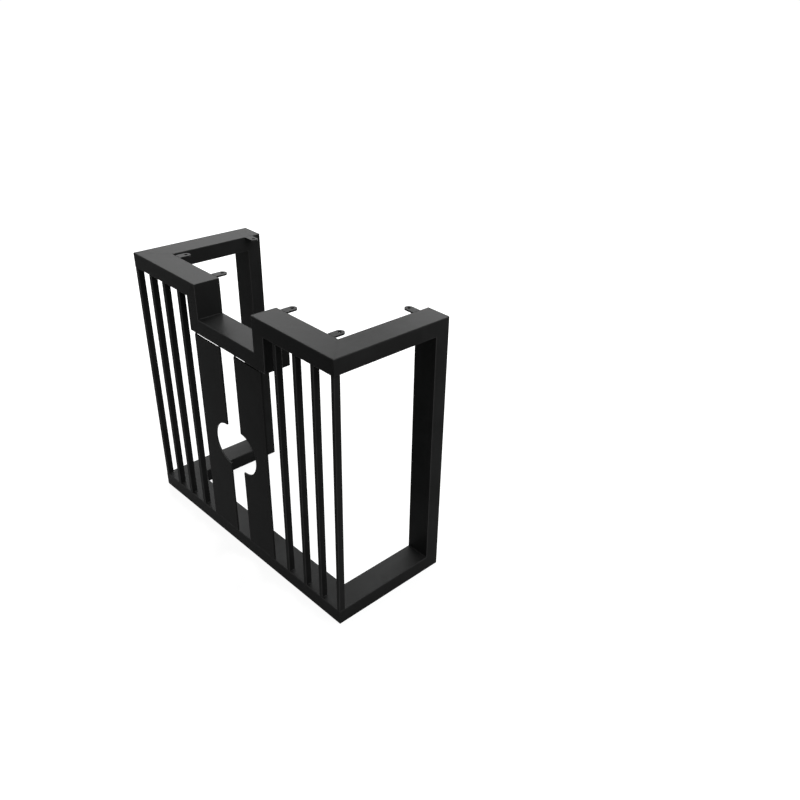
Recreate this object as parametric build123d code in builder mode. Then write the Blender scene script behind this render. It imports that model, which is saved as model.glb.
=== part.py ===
from build123d import *
import os

# Welded steel desk leg: a closed loop of mitred tubes, upright bars, notched plates and fixing tabs.
# Millimetres, +Z up. Origin on the floor in the middle of the leg.
# +Y runs along the long outer side, +X from the outer side towards the free ends of the arms.

# Overall size
leg_width = 800
leg_depth = 335
leg_height = 720

# Frame tube, mitred at every corner
tube_broad = 70
tube_narrow = 40
tube_wall = 1.5
tube_inner_radius = 0.5

# Recess in the middle of the outer side
recess_width = 230
recess_drop = 90

# Upright bars, spread from each end of the leg towards the recess
bar_width = 11
bar_depth = 17
bar_wall = 1.2
bar_inner_radius = 0.3
bar_last_gap = 35
# The bars were set by hand, so they stand a little off an even spacing
bar_nudges = (0, 1, -3, 0)

# Pair of notched plates on the base rail
plate_width = 108
plate_thickness = 4
plate_gap = 58
plate_head_gap = 4
notch_radius = 58
notch_height = 316

# Fixing tabs, level with the top of the frame
tab_width = 22
tab_reach = 35
tab_thickness = 4
tab_hole = 9
tab_end_inset = 25
tab_corner_inset = 24
tab_arm_inset = 37

front = -1
rear = 1
sides = (("front", front), ("rear", rear))

# Faces and centre lines of the frame
outer_face = -leg_depth / 2
free_face = leg_depth / 2
end_face = leg_width / 2
rail_line = outer_face + tube_broad / 2
post_line = free_face - tube_narrow / 2
arm_line = end_face - tube_broad / 2
drop_line = (recess_width + tube_narrow) / 2
base_line = tube_narrow / 2
top_line = leg_height - tube_narrow / 2
mid_line = leg_height - recess_drop - tube_narrow / 2

# Levels that the infill stands between
base_top = tube_narrow
top_underside = leg_height - tube_narrow
mid_underside = leg_height - recess_drop - tube_narrow

across_x = Vector(1, 0, 0)
across_y = Vector(0, 1, 0)

# Each tube runs from its own corner to the corner of the next one, all the way round.
# The last value is the direction of the tube's broad side.
frame_loop = [
    ("base_rail", Vector(rail_line, front * arm_line, base_line), across_x),
    ("base_arm_rear", Vector(rail_line, rear * arm_line, base_line), across_y),
    ("post_rear", Vector(post_line, rear * arm_line, base_line), across_y),
    ("top_arm_rear", Vector(post_line, rear * arm_line, top_line), across_y),
    ("top_rail_rear", Vector(rail_line, rear * arm_line, top_line), across_x),
    ("drop_post_rear", Vector(rail_line, rear * drop_line, top_line), across_x),
    ("mid_rail", Vector(rail_line, rear * drop_line, mid_line), across_x),
    ("drop_post_front", Vector(rail_line, front * drop_line, mid_line), across_x),
    ("top_rail_front", Vector(rail_line, front * drop_line, top_line), across_x),
    ("top_arm_front", Vector(rail_line, front * arm_line, top_line), across_y),
    ("post_front", Vector(post_line, front * arm_line, top_line), across_y),
    ("base_arm_front", Vector(post_line, front * arm_line, base_line), across_y),
]


def write(piece, name):
    """Label a finished piece and write it to its own file."""
    piece.part.label = name
    export_step(piece.part, f"parts/{name}.step")


def tube_profile(broad, narrow, wall, inner_radius):
    """Section of a rectangular tube with rounded corners, drawn in the open sketch."""
    RectangleRounded(broad, narrow, inner_radius + wall)
    RectangleRounded(broad - 2 * wall, narrow - 2 * wall, inner_radius, mode=Mode.SUBTRACT)


def heading(index):
    """Direction of one tube of the loop."""
    start = frame_loop[index][1]
    end = frame_loop[(index + 1) % len(frame_loop)][1]
    return (end - start).normalized()


def tab_outline():
    """Square root on the tube's face at the sketch's origin, round tip, screw hole in the tip's centre."""
    tip_centre = tab_reach - tab_width / 2
    Rectangle(tip_centre, tab_width, align=(Align.MIN, Align.CENTER))
    with Locations((tip_centre, 0)):
        Circle(tab_width / 2)
        Circle(tab_hole / 2, mode=Mode.SUBTRACT)


os.makedirs("parts", exist_ok=True)

# Frame tubes, each cut to the mitre at both of its corners
for index, (name, start, broad_side) in enumerate(frame_loop):
    end = frame_loop[(index + 1) % len(frame_loop)][1]
    before = heading(index - 1)
    along = heading(index)
    after = heading((index + 1) % len(frame_loop))
    rough_start = start - along * tube_broad
    rough_length = (end - start).length + 2 * tube_broad
    with BuildPart() as tube:
        with BuildSketch(Plane(origin=rough_start, x_dir=broad_side, z_dir=along)):
            tube_profile(tube_broad, tube_narrow, tube_wall, tube_inner_radius)
        extrude(amount=rough_length)
        split(bisect_by=Plane(origin=start, z_dir=before + along), keep=Keep.TOP)
        split(bisect_by=Plane(origin=end, z_dir=along + after), keep=Keep.BOTTOM)
    write(tube, name)

# Upright bars, flush with the outer face, between the base rail and the short top rails
drop_post_face = recess_width / 2 + tube_narrow
bar_pitch = (end_face - drop_post_face - bar_last_gap - bar_width) / (len(bar_nudges) - 1)
for side_name, side in sides:
    for number, nudge in enumerate(bar_nudges, start=1):
        offset = (number - 1) * bar_pitch + nudge
        bar_y = side * (end_face - offset - bar_width / 2)
        with BuildPart() as bar:
            with BuildSketch(Plane(origin=(outer_face + bar_depth / 2, bar_y, base_top))):
                tube_profile(bar_depth, bar_width, bar_wall, bar_inner_radius)
            extrude(amount=top_underside - base_top)
        write(bar, f"bar_{side_name}_{number}")

# Plates, flush with the outer face and welded to the base rail, with a slit under the mid rail
plate_height = mid_underside - plate_head_gap - base_top
for side_name, side in sides:
    inner_edge = side * plate_gap / 2
    with BuildPart() as plate:
        with BuildSketch(Plane(origin=(outer_face, 0, 0), x_dir=across_y, z_dir=across_x)):
            with Locations((inner_edge + side * plate_width / 2, base_top + plate_height / 2)):
                Rectangle(plate_width, plate_height)
            with Locations((inner_edge, notch_height)):
                Circle(notch_radius, mode=Mode.SUBTRACT)
        extrude(amount=plate_thickness)
    write(plate, f"plate_{side_name}")

# Fixing tabs: two on the inner face of each short top rail, one on the inner face of each top arm
tab_level = leg_height - tab_thickness
rail_face = outer_face + tube_broad
arm_face = end_face - tube_broad
for side_name, side in sides:
    end_tab_y = side * (recess_width / 2 + tab_end_inset)
    corner_tab_y = side * (arm_face - tab_corner_inset)
    tab_roots = {
        "end": Plane(origin=(rail_face, end_tab_y, tab_level), x_dir=across_x),
        "corner": Plane(origin=(rail_face, corner_tab_y, tab_level), x_dir=across_x),
        "arm": Plane(origin=(free_face - tab_arm_inset, side * arm_face, tab_level), x_dir=-side * across_y),
    }
    for place, root in tab_roots.items():
        with BuildPart() as tab:
            with BuildSketch(root):
                tab_outline()
            extrude(amount=tab_thickness)
        write(tab, f"tab_{place}_{side_name}")
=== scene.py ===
import math

import bmesh
import bpy
from mathutils import Matrix, Vector


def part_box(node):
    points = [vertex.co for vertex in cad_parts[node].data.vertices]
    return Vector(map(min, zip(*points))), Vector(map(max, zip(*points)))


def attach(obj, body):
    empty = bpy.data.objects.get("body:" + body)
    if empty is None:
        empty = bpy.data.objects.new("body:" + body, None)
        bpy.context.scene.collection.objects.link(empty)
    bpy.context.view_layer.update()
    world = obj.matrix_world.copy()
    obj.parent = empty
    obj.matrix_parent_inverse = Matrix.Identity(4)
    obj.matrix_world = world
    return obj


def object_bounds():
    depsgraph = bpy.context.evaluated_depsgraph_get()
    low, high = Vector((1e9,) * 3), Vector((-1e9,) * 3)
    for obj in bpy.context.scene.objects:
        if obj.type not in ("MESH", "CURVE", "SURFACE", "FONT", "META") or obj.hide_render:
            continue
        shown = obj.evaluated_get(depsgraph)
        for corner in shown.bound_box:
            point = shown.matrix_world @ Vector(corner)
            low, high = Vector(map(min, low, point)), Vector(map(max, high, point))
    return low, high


# Looks of a welded desk leg: black powder coat on each tube, bar, plate and tab, and weld beads under it.
# Metres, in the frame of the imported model: +Y along the long outer side, +X towards the free ends.

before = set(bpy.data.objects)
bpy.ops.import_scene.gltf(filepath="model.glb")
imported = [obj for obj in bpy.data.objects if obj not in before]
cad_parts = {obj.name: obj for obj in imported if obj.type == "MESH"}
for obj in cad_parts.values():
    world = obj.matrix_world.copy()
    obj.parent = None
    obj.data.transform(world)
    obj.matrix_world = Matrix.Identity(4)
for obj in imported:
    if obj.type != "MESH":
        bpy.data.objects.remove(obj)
cad_low, cad_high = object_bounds()

BODY = "root"
SIDES = (("front", -1), ("rear", 1))
BARS_PER_SIDE = 4
TAB_PLACES = ("end", "corner", "arm")
MM = 0.001
# The Mix node's colour sockets go by number, because its names repeat
MIX_SHARE, MIX_FIRST, MIX_SECOND, MIX_RESULT = 0, 6, 7, 2


class Value:
    """A socket that carries a number. Arithmetic on it adds Math nodes to its tree."""

    def __init__(self, tree, socket):
        self.tree = tree
        self.socket = socket

    def __add__(self, other):
        return self.tree.math("ADD", self, other)

    def __radd__(self, other):
        return self.tree.math("ADD", other, self)

    def __sub__(self, other):
        return self.tree.math("SUBTRACT", self, other)

    def __rsub__(self, other):
        return self.tree.math("SUBTRACT", other, self)

    def __mul__(self, other):
        return self.tree.math("MULTIPLY", self, other)

    def __rmul__(self, other):
        return self.tree.math("MULTIPLY", other, self)

    def __truediv__(self, other):
        return self.tree.math("DIVIDE", self, other)

    def __rtruediv__(self, other):
        return self.tree.math("DIVIDE", other, self)

    def __abs__(self):
        return self.tree.math("ABSOLUTE", self)


class Tree:
    """A node tree that is written as expressions, for materials, the world and geometry alike."""

    def __init__(self, nodes_of):
        self.nodes = nodes_of.nodes
        self.links = nodes_of.links

    def node(self, kind, settings=None, sockets=None, out=0):
        """Add a node: its settings first, then the values or links of its sockets. Returns one output."""
        made = self.nodes.new(kind)
        for name, setting in (settings or {}).items():
            setattr(made, name, setting)
        for name, given in (sockets or {}).items():
            if isinstance(given, Value):
                self.links.new(given.socket, made.inputs[name])
            else:
                made.inputs[name].default_value = given
        return Value(self, made.outputs[out]) if made.outputs else None

    def outputs(self, kind, settings=None, sockets=None):
        """Add a node and return all its outputs by name."""
        first = self.node(kind, settings, sockets)
        return {socket.name: Value(self, socket) for socket in first.socket.node.outputs}

    def math(self, operation, *terms):
        return self.node("ShaderNodeMath", {"operation": operation}, dict(enumerate(terms)))

    def vector_math(self, operation, *terms, out=0):
        return self.node("ShaderNodeVectorMath", {"operation": operation}, dict(enumerate(terms)), out)

    def largest(self, first, *others):
        """The largest of some numbers."""
        most = first
        for other in others:
            most = self.math("MAXIMUM", most, other)
        return most

    def noise(self, place, wavelength, detail=2.0, roughness=0.5, distortion=0.0, seed=None):
        """Smooth noise from 0 to 1 with features of about one wavelength, in metres."""
        settings = {}
        sockets = {"Vector": place, "Scale": 1 / wavelength, "Detail": detail}
        sockets |= {"Roughness": roughness, "Distortion": distortion}
        if seed is not None:
            settings["noise_dimensions"] = "4D"
            sockets["W"] = seed
        return self.node("ShaderNodeTexNoise", settings, sockets)

    def ramp(self, value, low, high, to_low=0.0, to_high=1.0):
        """The value carried smoothly from one range to another, and held at its ends."""
        settings = {"interpolation_type": "SMOOTHSTEP"}
        sockets = {"Value": value, "From Min": low, "From Max": high, "To Min": to_low, "To Max": to_high}
        return self.node("ShaderNodeMapRange", settings, sockets)

    def tint(self, share, colour, other_colour):
        """One colour where the share is 0, the other where it is 1."""
        sockets = {MIX_SHARE: share, MIX_FIRST: (*colour, 1), MIX_SECOND: (*other_colour, 1)}
        return self.node("ShaderNodeMix", {"data_type": "RGBA"}, sockets, out=MIX_RESULT)


def new_material(name):
    """An empty material and its tree."""
    material = bpy.data.materials.new(name)
    material.use_nodes = True
    material.node_tree.nodes.clear()
    return material, Tree(material.node_tree)


# Powder coat

COAT_BLACK = (0.0204, 0.0206, 0.0204)
COAT_WORN_BLACK = (0.0284, 0.0290, 0.0290)
COAT_SPECULAR = 0.007
COAT_ROUGHNESS = 0.36
COAT_ROUGHNESS_SPREAD = 0.07
# Orange peel and slow sags of the melted powder
PEEL_WAVELENGTH = 1.9 * MM
PEEL_HEIGHT = 0.022 * MM
SAG_WAVELENGTH = 55 * MM
SAG_HEIGHT = 0.10 * MM
# Broad clouding and small paler specks
CLOUD_WAVELENGTH = 90 * MM
CLOUD_FROM, CLOUD_TO = 0.3, 0.7
CLOUD_SHARE = 0.8
SPECK_WAVELENGTH = 3.2 * MM
SPECK_FROM, SPECK_TO = 0.70, 0.78
SPECK_SHARE = 0.2
SPECK_ROUGHNESS = 0.06
# Mitre welds that were ground flush, out to just past the furthest corner of a mitre
SEAM_WIDTH = 5 * MM
SEAM_HEIGHT = 0.015 * MM
SEAM_ROUGHNESS = 0.05
SEAM_REACH = 55 * MM
SEAM_FADE = 6 * MM
SEAM_WANDER = 3 * MM
SEAM_WANDER_WAVELENGTH = 9 * MM
# Rounded edges, where the powder runs thinner and glossier
EDGE_TURN = 0.15
EDGE_GLOSS = 0.4
EDGE_GLOSS_ROUGHNESS = 0.25


def mitre_corners():
    """Where the tubes' centre lines meet on the rear half, with the two directions of the tubes there."""
    rail_low, rail_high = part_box("base_rail")
    post_low, post_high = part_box("post_rear")
    arm_low, arm_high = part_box("top_arm_rear")
    drop_low, drop_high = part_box("drop_post_rear")
    mid_low, mid_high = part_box("mid_rail")
    rail_x = (rail_low.x + rail_high.x) / 2
    post_x = (post_low.x + post_high.x) / 2
    arm_y = (post_low.y + post_high.y) / 2
    drop_y = (drop_low.y + drop_high.y) / 2
    base_z = (rail_low.z + rail_high.z) / 2
    top_z = (arm_low.z + arm_high.z) / 2
    mid_z = (mid_low.z + mid_high.z) / 2
    x, y, z = Vector((1, 0, 0)), Vector((0, 1, 0)), Vector((0, 0, 1))
    return (
        (Vector((rail_x, arm_y, base_z)), x, -y),
        (Vector((post_x, arm_y, base_z)), z, -x),
        (Vector((post_x, arm_y, top_z)), -z, -x),
        (Vector((rail_x, arm_y, top_z)), x, -y),
        (Vector((rail_x, drop_y, top_z)), y, -z),
        (Vector((rail_x, drop_y, mid_z)), z, -y),
    )


def ground_seams(tree, place):
    """1 along the welded mitres, which were ground flush before coating, and 0 elsewhere."""
    axes = tree.outputs("ShaderNodeSeparateXYZ", {}, {"Vector": place})
    folded = tree.node("ShaderNodeCombineXYZ", {}, axes | {"Y": abs(axes["Y"])})
    wander = (tree.noise(folded, SEAM_WANDER_WAVELENGTH) - 0.5) * SEAM_WANDER
    seams = []
    for corner, one_way, other_way in mitre_corners():
        across = (one_way - other_way).normalized()
        offset = tree.vector_math("SUBTRACT", folded, corner)
        distance = abs(tree.vector_math("DOT_PRODUCT", offset, across, out="Value") + wander)
        from_corner = tree.vector_math("LENGTH", offset, out="Value")
        near_corner = tree.ramp(from_corner, SEAM_REACH, SEAM_REACH - SEAM_FADE)
        seams.append(tree.ramp(distance, SEAM_WIDTH, 0.0) * near_corner)
    return tree.largest(*seams)


def rounded_edges(tree):
    """1 on the rounded edges of tubes and bars, and 0 on their flat faces, which all face along an axis."""
    facing = tree.node("ShaderNodeTexCoord", {}, {}, out="Normal")
    axes = tree.outputs("ShaderNodeSeparateXYZ", {}, {"Vector": facing})
    steepest = tree.largest(*(abs(axis) for axis in axes.values()))
    return tree.ramp(1 - steepest, 0.0, EDGE_TURN)


def powder_coat():
    """Satin black powder coat: orange peel, slight sags and clouding, and flushed welds under it."""
    material, tree = new_material("black_powder_coat")
    place = tree.node("ShaderNodeTexCoord", {}, {}, out="Object")
    peel = tree.noise(place, PEEL_WAVELENGTH, detail=2.5, roughness=0.45)
    sag = tree.noise(place, SAG_WAVELENGTH, detail=1.0)
    cloud = tree.noise(place, CLOUD_WAVELENGTH, detail=4.0, roughness=0.6, distortion=0.4)
    speck = tree.ramp(tree.noise(place, SPECK_WAVELENGTH, detail=1.0), SPECK_FROM, SPECK_TO)
    seams = ground_seams(tree, place)

    height = peel * PEEL_HEIGHT + sag * SAG_HEIGHT + seams * SEAM_HEIGHT
    bump = tree.node("ShaderNodeBump", {}, {"Height": height, "Distance": 1.0, "Strength": 1.0})
    clouded = (cloud - 0.5) * (2 * COAT_ROUGHNESS_SPREAD)
    roughness = COAT_ROUGHNESS + clouded + speck * SPECK_ROUGHNESS + seams * SEAM_ROUGHNESS
    worn = tree.ramp(cloud, CLOUD_FROM, CLOUD_TO) * CLOUD_SHARE + speck * SPECK_SHARE
    sockets = {
        "Base Color": tree.tint(worn, COAT_BLACK, COAT_WORN_BLACK),
        "Roughness": roughness,
        "Specular IOR Level": COAT_SPECULAR,
        "Coat Weight": rounded_edges(tree) * EDGE_GLOSS,
        "Coat Roughness": EDGE_GLOSS_ROUGHNESS,
        "Normal": bump,
    }
    shader = tree.node("ShaderNodeBsdfPrincipled", {}, sockets)
    tree.node("ShaderNodeOutputMaterial", {}, {"Surface": shader})
    return material


coat = powder_coat()
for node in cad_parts.values():
    node.data.materials.clear()
    node.data.materials.append(coat)


# Weld beads

BEAD_RADIUS = 1.7 * MM
BEAD_END_GAP = 3.5 * MM
BEAD_SIDES = 10
BEAD_TURN_STEPS = 4
# A bar this close to the end of the leg has no bead on that side
FLUSH_WITHIN = 1 * MM
# Each end of a bead tapers over a share of its length
BEAD_TAPER_SHARE = 0.08
BEAD_END_SHARE = 0.45
# Ripples left by the weld pool, and the hand's unevenness
RIPPLE_PITCH = 2.2 * MM
RIPPLE_DEPTH = 0.22
RIPPLE_WANDER = 0.6
STEPS_PER_RIPPLE = 4
UNEVEN_WAVELENGTH = 2.5 * MM
UNEVEN_SHARE = 0.12
PLATE_STITCHES = 3
PLATE_STITCH_LENGTH = 24 * MM
TAB_GROOVE_DEPTH = 1.9 * MM
TAB_END_GAP = 1 * MM
# Tacks that close the slit over each plate at its corners
TACK_RADIUS = 2.3 * MM
TACK_LENGTH = 6 * MM
TACK_END_GAP = 0.5 * MM


def bar_seams():
    """Round the inner sides of each bar, at its foot and its head. The outer face was ground flush."""
    for side_name, side in SIDES:
        for number in range(1, BARS_PER_SIDE + 1):
            low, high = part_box(f"bar_{side_name}_{number}")
            outer = low.x + BEAD_END_GAP
            inner = high.x
            end_y, middle_y = (low.y, high.y) if side < 0 else (high.y, low.y)
            flush_with_end = abs(abs(end_y) - cad_high.y) < FLUSH_WITHIN
            for level in (low.z, high.z):
                seam = [(inner, end_y, level), (inner, middle_y, level), (outer, middle_y, level)]
                if flush_with_end:
                    seam[0] = (inner, end_y - side * BEAD_END_GAP, level)
                else:
                    seam.insert(0, (outer, end_y, level))
                yield seam


def plate_seams():
    """Short stitches along the inner side of each plate's foot."""
    for side_name, _ in SIDES:
        low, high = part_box(f"plate_{side_name}")
        room = high.y - low.y - PLATE_STITCH_LENGTH - 2 * BEAD_END_GAP
        for number in range(PLATE_STITCHES):
            start = low.y + BEAD_END_GAP + room * number / (PLATE_STITCHES - 1)
            yield [(high.x, start, low.z), (high.x, start + PLATE_STITCH_LENGTH, low.z)]


def plate_tacks():
    """In the slit between the mid rail and the head of each plate, at the plate's two corners."""
    mid_low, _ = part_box("mid_rail")
    for side_name, _ in SIDES:
        low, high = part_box(f"plate_{side_name}")
        middle_x = low.x + TACK_RADIUS
        level = (high.z + mid_low.z) / 2
        for corner_y, inwards in ((low.y, 1), (high.y, -1)):
            start = corner_y + inwards * TACK_END_GAP
            yield [(middle_x, start, level), (middle_x, start + inwards * TACK_LENGTH, level)]


def tab_seams():
    """Under the root of each tab, and in the groove between its top and the rounded corner of the tube."""
    for side_name, side in SIDES:
        for place in TAB_PLACES:
            low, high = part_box(f"tab_{place}_{side_name}")
            for level in (low.z, high.z - TAB_GROOVE_DEPTH):
                if place == "arm":
                    root = low.y if side < 0 else high.y
                    yield [(low.x + TAB_END_GAP, root, level), (high.x - TAB_END_GAP, root, level)]
                else:
                    yield [(low.x, low.y + TAB_END_GAP, level), (low.x, high.y - TAB_END_GAP, level)]


def corner_seams():
    """Along the inner edge of each mitred corner of the frame."""
    rail_low, rail_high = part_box("base_rail")
    _, mid_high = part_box("mid_rail")
    for side_name, side in SIDES:
        post_low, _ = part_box(f"post_{side_name}")
        drop_low, drop_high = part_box(f"drop_post_{side_name}")
        rail_top_low, rail_top_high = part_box(f"top_rail_{side_name}")
        arm_low, arm_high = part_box(f"base_arm_{side_name}")
        arm_y = arm_high.y if side < 0 else arm_low.y
        far_y, near_y = (drop_low.y, drop_high.y) if side < 0 else (drop_high.y, drop_low.y)
        end_y = side * (cad_high.y - BEAD_END_GAP)
        root_y = arm_y + side * BEAD_END_GAP
        out_x, in_x = rail_low.x + BEAD_END_GAP, rail_high.x - BEAD_END_GAP
        for level_low, level_high in ((rail_low.z, rail_high.z), (rail_top_low.z, rail_top_high.z)):
            foot = (rail_high.x, arm_y, level_low + BEAD_END_GAP)
            yield [foot, (rail_high.x, arm_y, level_high - BEAD_END_GAP)]
        for level in (rail_high.z, rail_top_low.z):
            yield [(post_low.x, end_y, level), (post_low.x, root_y, level)]
        yield [(out_x, far_y, rail_top_low.z), (in_x, far_y, rail_top_low.z)]
        yield [(out_x, near_y, mid_high.z), (in_x, near_y, mid_high.z)]


def seam_mesh(name, seams):
    """A mesh of bare edges, one chain for each seam."""
    lines = bmesh.new()
    for seam in seams:
        points = [lines.verts.new(point) for point in seam]
        for start, end in zip(points, points[1:]):
            lines.edges.new((start, end))
    mesh = bpy.data.meshes.new(name)
    lines.to_mesh(mesh)
    lines.free()
    return mesh


def bead_tree(name, numbers):
    """Turn bare edges into rippled weld beads. Returns the tree and its inputs' identifiers."""
    group = bpy.data.node_groups.new(name, "GeometryNodeTree")
    identifiers = {}
    group.interface.new_socket("Seams", in_out="INPUT", socket_type="NodeSocketGeometry")
    for label in numbers:
        socket = group.interface.new_socket(label, in_out="INPUT", socket_type="NodeSocketFloat")
        identifiers[label] = socket.identifier
    socket = group.interface.new_socket("Finish", in_out="INPUT", socket_type="NodeSocketMaterial")
    identifiers["Finish"] = socket.identifier
    group.interface.new_socket("Beads", in_out="OUTPUT", socket_type="NodeSocketGeometry")

    tree = Tree(group)
    given = tree.outputs("NodeGroupInput")
    radius = given["Bead Radius"]
    pitch = given["Ripple Pitch"]

    lines = tree.node("GeometryNodeMeshToCurve", {}, {"Mesh": given["Seams"]})
    turn_sockets = {"Curve": lines, "Radius": radius, "Count": BEAD_TURN_STEPS, "Limit Radius": True}
    turns = tree.node("GeometryNodeFilletCurve", {"mode": "POLY"}, turn_sockets)
    even_sockets = {"Curve": turns, "Length": pitch / STEPS_PER_RIPPLE}
    even = tree.node("GeometryNodeResampleCurve", {"mode": "LENGTH"}, even_sockets)

    along = tree.outputs("GeometryNodeSplineParameter")
    spot = tree.node("GeometryNodeInputPosition")
    uneven = tree.noise(spot, UNEVEN_WAVELENGTH, detail=1.0, seed=given["Seed"])
    crescent = tree.math("FRACT", along["Length"] / pitch + uneven * RIPPLE_WANDER)
    to_end = tree.math("MINIMUM", along["Factor"], 1 - along["Factor"])
    taper = tree.ramp(to_end, 0.0, BEAD_TAPER_SHARE, BEAD_END_SHARE, 1.0)
    rippled = 1 - given["Ripple Depth"] * crescent
    thickness = radius * taper * rippled * (1 - UNEVEN_SHARE * (1 - uneven))
    section = tree.node("GeometryNodeCurvePrimitiveCircle", {}, {"Resolution": BEAD_SIDES, "Radius": 1.0})
    skin_sockets = {"Curve": even, "Profile Curve": section, "Scale": thickness, "Fill Caps": True}
    skin = tree.node("GeometryNodeCurveToMesh", {}, skin_sockets)
    smooth = tree.node("GeometryNodeSetShadeSmooth", {}, {"Geometry": skin})
    whole = tree.node("GeometryNodeRealizeInstances", {}, {"Geometry": smooth})
    coated = tree.node("GeometryNodeSetMaterial", {}, {"Geometry": whole, "Material": given["Finish"]})
    tree.node("NodeGroupOutput", {}, {"Beads": coated})
    return group, identifiers


def weld_beads(name, seams, seed, radius=BEAD_RADIUS):
    """A piece of coated weld beads along the seams, as a plain mesh."""
    numbers = {
        "Bead Radius": radius,
        "Ripple Pitch": RIPPLE_PITCH,
        "Ripple Depth": RIPPLE_DEPTH,
        "Seed": seed,
    }
    tree, identifiers = bead_tree(f"{name}_nodes", numbers)
    lines = bpy.data.objects.new(f"{name}_lines", seam_mesh(f"{name}_lines", seams))
    bpy.context.scene.collection.objects.link(lines)
    modifier = lines.modifiers.new("beads", "NODES")
    modifier.node_group = tree
    for label, number in numbers.items():
        modifier[identifiers[label]] = number
    modifier[identifiers["Finish"]] = coat
    evaluated = lines.evaluated_get(bpy.context.evaluated_depsgraph_get())
    mesh = bpy.data.meshes.new_from_object(evaluated)
    mesh.name = name
    lines.modifiers.remove(modifier)
    bpy.data.objects.remove(lines)
    beads = bpy.data.objects.new(name, mesh)
    bpy.context.scene.collection.objects.link(beads)
    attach(beads, BODY)


weld_beads("bar_welds", bar_seams(), seed=1.0)
weld_beads("plate_welds", plate_seams(), seed=2.0)
weld_beads("plate_tacks", plate_tacks(), seed=5.0, radius=TACK_RADIUS)
weld_beads("tab_welds", tab_seams(), seed=3.0)
weld_beads("corner_welds", corner_seams(), seed=4.0)


# Floor and background

FLOOR_SIZE = 60.0
FLOOR_COLOUR = (0.22, 0.22, 0.22, 1)
WHITE = (1.0, 1.0, 1.0)
# The floor glows a little less near the leg, so that the leg's shadow shows there
NEAR_GLOW = (0.92, 0.92, 0.92)
NEAR_REACH = 0.6
FAR_REACH = 2.0
FILL_LEVEL = 0.2


def background_share(tree):
    """1 for rays that see the background itself or its reflection, 0 for rays that carry its light."""
    rays = tree.outputs("ShaderNodeLightPath")
    return tree.largest(rays["Is Camera Ray"], rays["Is Glossy Ray"], rays["Is Transmission Ray"])


def pale_floor():
    """A plain white floor that keeps the leg's shadow."""
    material, tree = new_material("pale_floor")
    place = tree.node("ShaderNodeTexCoord", {}, {}, out="Object")
    distance = tree.vector_math("LENGTH", place, out="Value")
    glow_colour = tree.tint(tree.ramp(distance, NEAR_REACH, FAR_REACH), NEAR_GLOW, WHITE)
    matt = tree.node("ShaderNodeBsdfDiffuse", {}, {"Color": FLOOR_COLOUR})
    glow = tree.node("ShaderNodeEmission", {}, {"Color": glow_colour, "Strength": background_share(tree)})
    both = tree.node("ShaderNodeAddShader", {}, {0: matt, 1: glow})
    tree.node("ShaderNodeOutputMaterial", {}, {"Surface": both})
    half = FLOOR_SIZE / 2
    corners = [(-half, -half, 0), (half, -half, 0), (half, half, 0), (-half, half, 0)]
    mesh = bpy.data.meshes.new("floor")
    mesh.from_pydata(corners, [], [(0, 1, 2, 3)])
    mesh.materials.append(material)
    floor = bpy.data.objects.new("floor", mesh)
    bpy.context.scene.collection.objects.link(floor)


def white_surround():
    """White where it is seen or mirrored, and an even fill light elsewhere."""
    world = bpy.data.worlds.new("surround")
    world.use_nodes = True
    world.node_tree.nodes.clear()
    tree = Tree(world.node_tree)
    strength = FILL_LEVEL + background_share(tree) * (1 - FILL_LEVEL)
    glow = tree.node("ShaderNodeBackground", {}, {"Color": (*WHITE, 1), "Strength": strength})
    tree.node("ShaderNodeOutputWorld", {}, {"Surface": glow})
    bpy.context.scene.world = world


pale_floor()
white_surround()


# Lamps: a window in two panes behind the leg, a high one far behind it, and one in front

def softbox(name, place, target, width, height, radiance):
    """A rectangular soft lamp that faces a point. The radiance is what it looks like, with 1 as white."""
    lamp = bpy.data.lights.new(name, "AREA")
    lamp.shape = "RECTANGLE"
    lamp.size = width
    lamp.size_y = height
    lamp.energy = radiance * math.pi * width * height
    holder = bpy.data.objects.new(name, lamp)
    facing = (Vector(target) - Vector(place)).to_track_quat("-Z", "Y").to_matrix().to_4x4()
    holder.matrix_world = Matrix.Translation(place) @ facing
    holder.visible_camera = False
    bpy.context.scene.collection.objects.link(holder)


LEG_MIDDLE = (cad_low + cad_high) / 2
LEG_TOP = (0, 0, cad_high.z)
PANE_SIZE = (1.5, 1.9)
FAR_SIZE = (3.0, 1.8)
FRONT_SIZE = (2.0, 2.0)
softbox("left_pane", (1.44, 2.35, 2.13), LEG_TOP, *PANE_SIZE, radiance=4.6)
softbox("right_pane", (2.46, 1.25, 2.13), LEG_TOP, *PANE_SIZE, radiance=12.3)
softbox("far_softbox", (3.1, 6.0, 4.7), LEG_MIDDLE, *FAR_SIZE, radiance=21.6)
softbox("front_softbox", (0.5, -2.6, 2.7), LEG_MIDDLE, *FRONT_SIZE, radiance=3.2)


# Camera at the photograph's view

CAMERA_PLACE = Vector((-1.0839, -1.5499, 1.4603))
CAMERA_TARGET = Vector((0.1306, -0.4583, 0.4891))
CAMERA_ROLL = math.radians(3.43)
CAMERA_LENS = 36.76
CAMERA_SENSOR = 36.0
CAMERA_SHIFT = (-0.065, 0.025)

camera_data = bpy.data.cameras.new("camera")
camera_data.sensor_width = CAMERA_SENSOR
camera_data.lens = CAMERA_LENS
camera_data.shift_x, camera_data.shift_y = CAMERA_SHIFT
camera = bpy.data.objects.new("camera", camera_data)
aim = (CAMERA_TARGET - CAMERA_PLACE).to_track_quat("-Z", "Y").to_matrix().to_4x4()
camera.matrix_world = Matrix.Translation(CAMERA_PLACE) @ aim @ Matrix.Rotation(CAMERA_ROLL, 4, "Z")
bpy.context.scene.collection.objects.link(camera)
bpy.context.scene.camera = camera

bpy.context.scene.view_settings.view_transform = "Standard"
